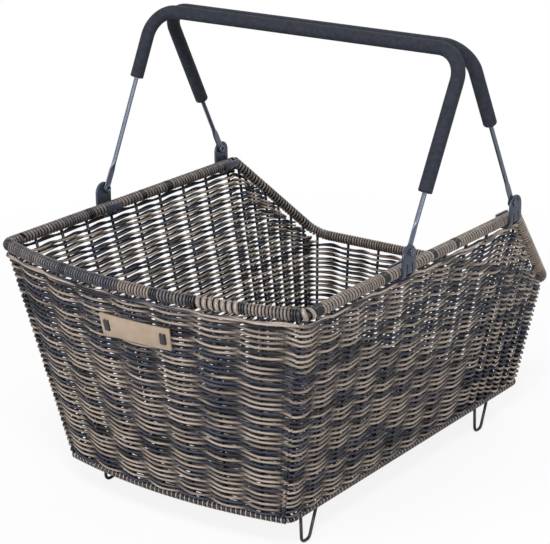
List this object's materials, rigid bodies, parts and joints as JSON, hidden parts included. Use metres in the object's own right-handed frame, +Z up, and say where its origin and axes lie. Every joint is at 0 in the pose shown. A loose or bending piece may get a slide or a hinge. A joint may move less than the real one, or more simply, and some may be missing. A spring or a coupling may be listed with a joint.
{
  "type": "bicycle basket",
  "caption": "Rear bicycle basket of twined cane on a wire frame, with a saddle cut-out at one end and two folding carrying handles with foam grips.",
  "frame": {"origin": "on the ground under the middle of the basket, between the undersides of the four feet", "axes": "+X across, to the right seen from the name patch end; +Y along the basket from the name patch end towards the saddle cut-out; +Z up"},
  "size_m": [0.342, 0.4668, 0.398],
  "materials": {
    "cane": "mixed tan, brown and black synthetic cane, satin",
    "wrapping": "the same cane wrapped tightly round the wires",
    "steel": "black coated wire, satin",
    "plate": "dark grey-blue coated sheet, satin",
    "rivet": "black coated tubular rivet",
    "foam": "matt charcoal foam tube",
    "leather": "smooth tan, blank",
    "tie": "black flat band"
  },
  "bodies": {
    "basket": {"wire_frame": "steel", "front_left_foot": "steel", "front_right_foot": "steel", "rear_left_foot": "steel", "rear_right_foot": "steel", "front_rim_wrap": "wrapping", "right_rim_wrap": "wrapping", "left_rim_wrap": "wrapping", "right_slope_wrap": "wrapping", "left_slope_wrap": "wrapping", "rear_rail_wrap": "wrapping", "front_base_wrap": "wrapping", "right_base_wrap": "wrapping", "rear_base_wrap": "wrapping", "left_base_wrap": "wrapping", "front_left_bracket": "plate", "front_left_rivet": "rivet", "front_right_bracket": "plate", "front_right_rivet": "rivet", "rear_left_bracket": "plate", "rear_left_rivet": "rivet", "rear_right_bracket": "plate", "rear_right_rivet": "rivet", "front_weave": "cane", "right_weave": "cane", "left_weave": "cane", "rear_weave": "cane", "base_weave": "cane", "name_patch": "leather", "left_patch_tie": "tie", "right_patch_tie": "tie"},
    "front_handle": {"front_handle_wire": "steel", "front_grip": "foam"},
    "rear_handle": {"rear_handle_wire": "steel", "rear_grip": "foam"}
  },
  "joints": [
    {"name": "front_handle_hinge", "type": "hinge", "parent": "basket", "child": "front_handle", "pos_m": [0, -0.06275, 0.2399], "axis": [1, 0, 0], "range_deg": [0, 118.6]},
    {"name": "rear_handle_hinge", "type": "hinge", "parent": "basket", "child": "rear_handle", "pos_m": [0, 0.10735, 0.2399], "axis": [-1, 0, 0], "range_deg": [0, 132.3]}
  ]
}
